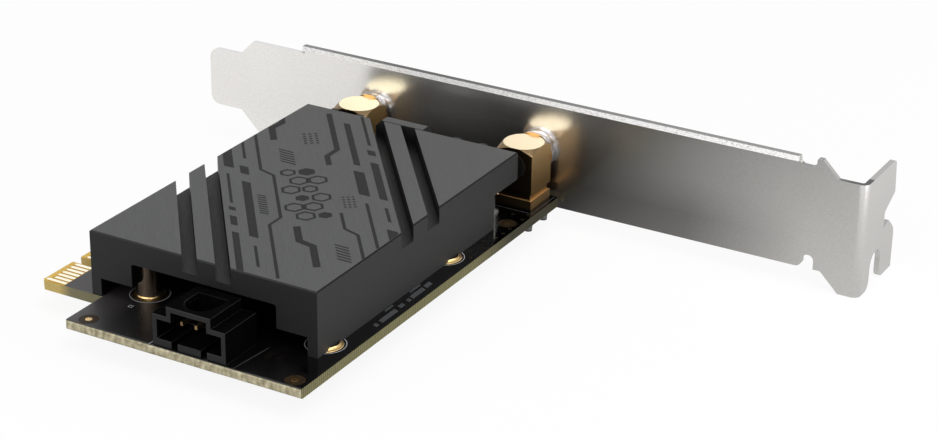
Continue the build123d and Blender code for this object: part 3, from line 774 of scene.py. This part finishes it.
# Print on the heat sink, in the grooves' own directions about the middle of its top
GROOVE_COS = math.cos(GROOVE_ANGLE)
GROOVE_SIN = math.sin(GROOVE_ANGLE)
PRINT_MARGIN = 0.25
BARS = [
    (-27, 12.3, 13, 1.0),
    (-11.5, 12.3, 3.2, 1.0),
    (-6.2, 12.3, 1.2, 1.0),
    (-3.5, 12.3, 11, 0.45),
    (10, 12.0, 16, 1.5),
    (-26, 9.7, 7, 0.45),
    (-16, 9.7, 20, 1.3),
    (7, 9.7, 3, 1.3),
    (13, 9.4, 9, 0.45),
    (-28, -10.4, 12, 1.5),
    (-13, -10.4, 5, 0.5),
    (-5, -10.4, 14, 1.2),
    (12, -10.4, 2, 1.2),
    (16, -10.4, 12, 0.5),
    (-22, -7.7, 16, 0.5),
    (-3, -7.7, 9, 1.6),
    (8.5, -7.7, 17, 1.0),
]
STEPPED_LINES = [
    ([(-30, 7.2), (-12, 7.2), (-9.6, 5.4), (6, 5.4), (8.4, 7.2), (24, 7.2)], 0.5),
    ([(-30, -5.3), (-17, -5.3), (-14.6, -3.6), (-9, -3.6)], 0.5),
    ([(30, -5.2), (15, -5.2), (12.6, -3.4), (9, -3.4)], 0.9),
    ([(-27, 1.5), (-20, 1.5), (-18, 3.3), (-13, 3.3)], 1.1),
    ([(20, 4.4), (25, 4.4), (27, 2.6), (32, 2.6)], 1.1),
]
CELL_PITCH = 3.255
CELL_ROW = 2.9
CELL_RADII = (1.15, 1.45, 1.45)


def on_sink(u, v):
    """From the grooves' own directions to the board."""
    x = SINK_MIDDLE[0] + u * GROOVE_COS - v * GROOVE_SIN
    y = SINK_MIDDLE[1] + u * GROOVE_SIN + v * GROOVE_COS
    return x, y


def sink_clip(polygon):
    """Cuts a polygon in the grooves' directions to the top face."""
    straight = [
        (u * GROOVE_COS - v * GROOVE_SIN, u * GROOVE_SIN + v * GROOVE_COS) for u, v in polygon
    ]
    cut = clipped(straight, (SINK_HALF[0] - PRINT_MARGIN, SINK_HALF[1] - PRINT_MARGIN))
    return [(x * GROOVE_COS + y * GROOVE_SIN, -x * GROOVE_SIN + y * GROOVE_COS) for x, y in cut]


def print_shapes():
    """A generic arrangement of bars, steps, cells and hatching."""
    shapes = [block(*bar, 0.7) for bar in BARS]
    for points, width in STEPPED_LINES:
        shapes += stroke(points, width)
    for index in range(6):
        shapes.append(block(10.4 + index * 0.95, 2.8, 0.42, 2.2, 0.8))
        shapes.append(block(-25.5 + index * 0.95, -2.6, 0.42, 1.9, 0.8))
    for index in range(9):
        shapes.append(block(-8 + index * 0.8, 7.7, 0.36, 1.3, 0.6))
    for column in range(5):
        for row in range(3):
            shapes.append(block(17.8 + column * 0.95, -2.4 + row * 0.95, 0.45, 0.45))
            shapes.append(block(-7.2 + column * 0.9, -5.9 + row * 0.75, 0.4, 0.36))
    for column in range(6):
        for row in range(2):
            u = -9.5 + column * CELL_PITCH
            v = -1.2 + row * CELL_ROW + (column % 2) * CELL_ROW / 2
            corners = disc(CELL_RADII[(column + row) % 3], (u, v), 6)
            if (2 * column + row) % 5 == 0:
                shapes.append(corners)
            else:
                shapes += stroke(corners, 0.42, close=True)
    return [sink_clip(shape) for shape in shapes]


print_ink = plastic("sink_print", 0.013, 0.016, 0.45, specular=0.06)
sheet("heat_sink_print", print_shapes(), SINK_TOP + PRINT_LIFT, print_ink, on_sink)

# Print and bare copper on the board
white_ink = plastic("silkscreen", (0.30, 0.31, 0.33), (0.42, 0.43, 0.45), 0.6, 0.2)
grey_ink = plastic("grey_print", (0.045, 0.047, 0.050), (0.066, 0.069, 0.072), 0.6, 0.2)
faint_ink = plastic("faint_outlines", (0.008, 0.006, 0.004), (0.014, 0.010, 0.007), 0.5, 0.2)
bare_core = plastic("bare_laminate", (0.015, 0.009, 0.004), (0.026, 0.016, 0.007), 0.45, 0.12)
# painted shade: via holes drawn as near black discs
hole_shade = plastic("via_hole", 0.003, 0.005, 0.6, 0.02)
hole_shade.ior(1.1)
via_copper = metal("via_copper", (0.10, 0.075, 0.05), (0.16, 0.12, 0.08), 0.4)

ink = stroke([(0.05, 25.75), (1.2, 25.75)], 0.13)
ink += stroke([(7.6, 25.75), (8.6, 25.75)], 0.13)
ink += stroke([(8.0, 34.75), (8.55, 34.75), (8.55, 35.3), (8.0, 35.3)], 0.09, close=True)
for screw in SCREWS:
    ink += ring(SCREW_RING_RADIUS, 0.13, 60, screw)
sheet("board_print", ink, PRINT_LIFT, white_ink)

marks = stroke([(0.05, 11.4), (8.0, 10.6)], 0.11)
marks += stroke([(67.4, 9.0), (67.4, 0.6), (75.2, 0.6)], 0.12)
for x, y, length, width in [
    (21.4, 1.4, 0.8, 0.8),
    (23.0, 1.4, 4.4, 0.9),
    (28.4, 1.5, 1.2, 0.8),
    (30.7, 1.5, 0.8, 0.8),
    (32.0, 1.6, 3.6, 0.9),
    (36.1, 1.7, 1.7, 0.9),
    (26.2, 2.6, 2.2, 0.4),
    (33.4, 2.7, 3.0, 0.4),
]:
    marks.append(block(x, y, length, width, 0.35))
sheet("board_marks", marks, PRINT_LIFT, grey_ink)

outlines = []
for x, y, length, width in [
    (5.3, 9.0, 0.9, 0.6),
    (6.6, 8.9, 1.3, 0.8),
    (8.4, 8.2, 0.9, 0.6),
    (5.6, 7.2, 1.3, 0.7),
]:
    corners = [(x, y), (x + length, y), (x + length, y + width), (x, y + width)]
    outlines += stroke(corners, 0.1, close=True)
sheet("faint_outlines", outlines, PRINT_LIFT, faint_ink)

pad_profile = [
    (PAD_RADIUS, 0.0),
    (PAD_RADIUS - 0.08, 0.06),
    (PAD_RADIUS - 0.22, 0.09),
    (PAD_RADIUS - 0.38, 0.13),
    (STANDOFF_RADIUS + 0.07, 0.24),
    (STANDOFF_RADIUS + 0.01, 0.42),
]
turned("screw_rings", SCREWS, pad_profile, pad_gold)
openings = [disc(1.5, place, 32) for place in FIDUCIALS] + ring(1.0, 1.0, 32, TOOLING_HOLE)
sheet("mask_openings", openings, 0.5 * PRINT_LIFT, bare_core)
dots = [disc(0.52, place) for place in FIDUCIALS]
sheet("fiducial_dots", dots, PRINT_LIFT, pad_gold)
corner_ring = ring(0.4, 0.28, 24, TOOLING_HOLE)
sheet("corner_dot", corner_ring, PRINT_LIFT, corner_copper)

# Vias, kept clear of the screws and of the marks along the near edge
chance = random.Random(7)
via_places = []
for index in range(13):
    via_places.append((1.2 + index * 2.4, 30.2 + chance.uniform(-1.4, 2.6)))
for index in range(30):
    inset = 0.75 + chance.choice((0, 0, 1.2)) + chance.uniform(0, 0.3)
    via_places.append((11.5 + index * 2.05, inset))
for index in range(9):
    x = 62.5 + chance.uniform(-1.5, 4)
    via_places.append((x, 3.4 + index * 3.9 + chance.uniform(-0.8, 0.8)))
for index in range(12):
    via_places.append((9.6 + index * 1.6, 41.2 + chance.uniform(-0.6, 3.0)))
via_rings = []
via_holes = []
for place in via_places:
    by_marks = place[Y] <= 3 and place[X] <= 48
    if by_marks or any(math.dist(place, screw) <= SCREW_CLEARANCE for screw in SCREWS):
        continue
    via_rings += ring(0.23, 0.12, 14, place)
    via_holes.append(disc(0.17, place, 12))
sheet("vias", via_rings, 0.7 * PRINT_LIFT, via_copper)
sheet("via_holes", via_holes, 0.7 * PRINT_LIFT, hole_shade)


def solder_joints(name, places, radius, tip, height):
    """Hollow cones of solder round the legs, under the board."""
    profile = []
    for step in range(7):
        share = step / 6
        reach = tip + (radius - tip) * (1 - share) ** 2
        profile.append((reach, -BOARD_THICKNESS - share * height))
    turned(name, places, profile, solder, sides=20, capped=True)


leg_signs = [(-1, -1), (-1, 1), (1, -1), (1, 1)]
leg_places = [
    (JACK_MIDDLE + across * JACK_LEG, y + along * JACK_LEG)
    for y in JACK_Y.values()
    for across, along in leg_signs
]
centre_places = [(JACK_MIDDLE, y) for y in JACK_Y.values()]
solder_joints("header_solder", PIN_PLACES, 0.95, 0.42, 0.85)
solder_joints("jack_leg_solder", leg_places, 1.15, 0.62, 2.4)
solder_joints("jack_contact_solder", centre_places, 1.0, 0.5, 0.8)


def jack_shell(side):
    """The jack's own mesh, with a slimmer barrel that the thread lies on."""
    mesh = nodes[f"jack_body_{side}"].data.copy()
    mesh.name = f"jack_shell_{side}"
    axis = at(0, JACK_Y[side], JACK_AXIS)
    barrel_from = spot(X, NUT_FACE)
    for vertex in mesh.vertices:
        off = Vector((0, vertex.co.y - axis.y, vertex.co.z - axis.z))
        if vertex.co.x > barrel_from - WELD_DISTANCE and off.length > BARREL_CORE + 0.00005:
            off = off.normalized() * BARREL_CORE
            vertex.co = Vector((vertex.co.x, axis.y + off.y, axis.z + off.z))
    mesh.update()
    mesh.materials.append(collar_gold.material)
    mesh.materials.append(crown_shade_gold.material)
    for polygon in mesh.polygons:
        middle = polygon.center
        off = Vector((middle.y - axis.y, middle.z - axis.z)).length
        past_front = middle.x - spot(X, JACK_FRONT)
        on_collar = past_front > 0.0001 and middle.x < barrel_from - 0.0005
        if on_collar and off > COLLAR_FROM and abs(polygon.normal.x) < 0.5:
            polygon.material_index = 1
        # the crown's sloped faces take the darker gold of painted shade
        on_crown = past_front < 0 and middle.z > spot(Z, JACK_TOP - 1)
        if on_crown and 0.3 < polygon.normal.z < 0.95:
            polygon.material_index = 2
    shell = bpy.data.objects.new(f"jack_shell_{side}", mesh)
    bpy.context.collection.objects.link(shell)
    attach(shell, "root")
    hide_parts(f"jack_body_{side}")
    round_edges(shell, 0.00012, 40)


def jack_thread(side):
    """A helical ridge round the barrel, tapering at both ends."""
    total = int((JACK_TIP - NUT_FACE) / THREAD_PITCH * THREAD_STEPS)
    points = []
    for step in range(total + 1):
        angle = 2 * math.pi * step / THREAD_STEPS
        along = NUT_FACE + THREAD_PITCH * step / THREAD_STEPS
        taper = min(1.0, (JACK_TIP - along) / 0.5, (along - NUT_FACE) / 0.3 + 0.2)
        for depth, offset in THREAD_PROFILE:
            reach = BARREL_RADIUS - depth - (1 - taper) * 0.3
            x = min(along + offset * THREAD_PITCH, JACK_TIP)
            y = JACK_Y[side] + reach * math.cos(angle)
            points.append(at(x, y, JACK_AXIS + reach * math.sin(angle)))
    corners = len(THREAD_PROFILE)
    one_turn = THREAD_STEPS * corners
    faces = []
    for first in range(0, total * corners, corners):
        for corner in range(first, first + corners - 1):
            faces.append([corner, corner + corners, corner + corners + 1, corner + 1])
    for first in range(0, (total - THREAD_STEPS) * corners, corners):
        last = first + corners - 1
        after = first + corners
        faces.append([last, last + corners, after + one_turn, first + one_turn])
    piece(f"jack_thread_{side}", points, faces, gold)


for side in JACK_Y:
    jack_shell(side)
    jack_thread(side)

for name, width in [("heat_sink", 0.00006), ("bracket", 0.00008), ("header_shroud", 0.00008)]:
    round_edges(nodes[name], width, 50)

# Floor: white to the camera, graded in mirrored rays with a painted shadow near the card, and
# plain under its shadow
floor_material = bpy.data.materials.new("floor")
floor_material.use_nodes = True
floor_graph = Graph(floor_material.node_tree)
floor_graph.tree.nodes.clear()
rays = floor_graph.node("ShaderNodeLightPath").outputs
plain = floor_graph.surface("ShaderNodeBsdfDiffuse", FLOOR_TONE)
seen = floor_graph.surface("ShaderNodeEmission", 1.0, 1.0)
floor_place = floor_graph.node("ShaderNodeTexCoord").outputs["Object"]
first_y, last_y = MIRRORED_FLOOR[0][0], MIRRORED_FLOOR[-1][0]
brightest = max(tone for _, tone in MIRRORED_FLOOR)
across = floor_graph.range(floor_graph.axis(floor_place, Y), spot(Y, first_y), spot(Y, last_y))
grading = floor_graph.ramp(
    across,
    [((y - first_y) / (last_y - first_y), tone / brightest) for y, tone in MIRRORED_FLOOR],
)
mirrored = floor_graph.surface("ShaderNodeEmission", grading, brightest)
through = floor_graph.math("MAXIMUM", rays["Is Camera Ray"], rays["Is Transmission Ray"])
seen_share = floor_graph.times(through, FLOOR_SHARE)
gloss_share = floor_graph.times(rays["Is Glossy Ray"], FLOOR_SHARE)
graded = floor_graph.joined(gloss_share, plain, mirrored)
floor_output = floor_graph.node("ShaderNodeOutputMaterial")
floor_graph.feed(floor_output.inputs["Surface"], floor_graph.joined(seen_share, graded, seen))

floor_height = cad_low[2] - FLOOR_GAP
floor_mesh = bpy.data.meshes.new("floor")
floor_corners = [(-1, -1), (1, -1), (1, 1), (-1, 1)]
floor_mesh.from_pydata(
    [(x * FLOOR_HALF, y * FLOOR_HALF, floor_height) for x, y in floor_corners],
    [],
    [(0, 1, 2, 3)],
)
floor_mesh.materials.append(floor_material)
floor = bpy.data.objects.new("floor", floor_mesh)
bpy.context.collection.objects.link(floor)

# World: white to the camera and in mirrored rays, softer as light on the card
world = bpy.data.worlds.new("world")
bpy.context.scene.world = world
world.use_nodes = True
sky = Graph(world.node_tree)
sky.tree.nodes.clear()
rays = sky.node("ShaderNodeLightPath").outputs
soft = sky.surface("ShaderNodeBackground", 1.0, 0.5)
white = sky.surface("ShaderNodeBackground", 1.0, 1.0)
through = sky.math("MAXIMUM", rays["Is Camera Ray"], rays["Is Transmission Ray"])
glossy = sky.joined(rays["Is Glossy Ray"], soft, white)
sky_output = sky.node("ShaderNodeOutputWorld")
sky.feed(sky_output.inputs["Surface"], sky.joined(through, glossy, white))


def lamp(name, place, aim, width, height, energy):
    """A soft rectangular lamp that points at a place."""
    data = bpy.data.lights.new(name, "AREA")
    data.shape = "RECTANGLE"
    data.size = width
    data.size_y = height
    data.energy = energy
    made = bpy.data.objects.new(name, data)
    made.location = place
    made.rotation_euler = (Vector(aim) - Vector(place)).to_track_quat("-Z", "Y").to_euler()
    bpy.context.collection.objects.link(made)


centre = (cad_low[0] * 0.5 + cad_high[0] * 0.5, cad_low[1] * 0.5 + cad_high[1] * 0.5, 0.005)
lamp("key", (-0.15, -0.35, 0.62), centre, 0.5, 0.5, 2.6)
lamp("near_low", (0.05, -0.75, 0.14), centre, 0.6, 0.22, 2.0)
lamp("fill", (-0.6, 0.1, 0.35), centre, 0.5, 0.4, 1.4)
lamp("far_side", (-0.12, 0.5, 0.14), (0.07, 0.03, 0.005), 0.4, 0.22, 0.25)
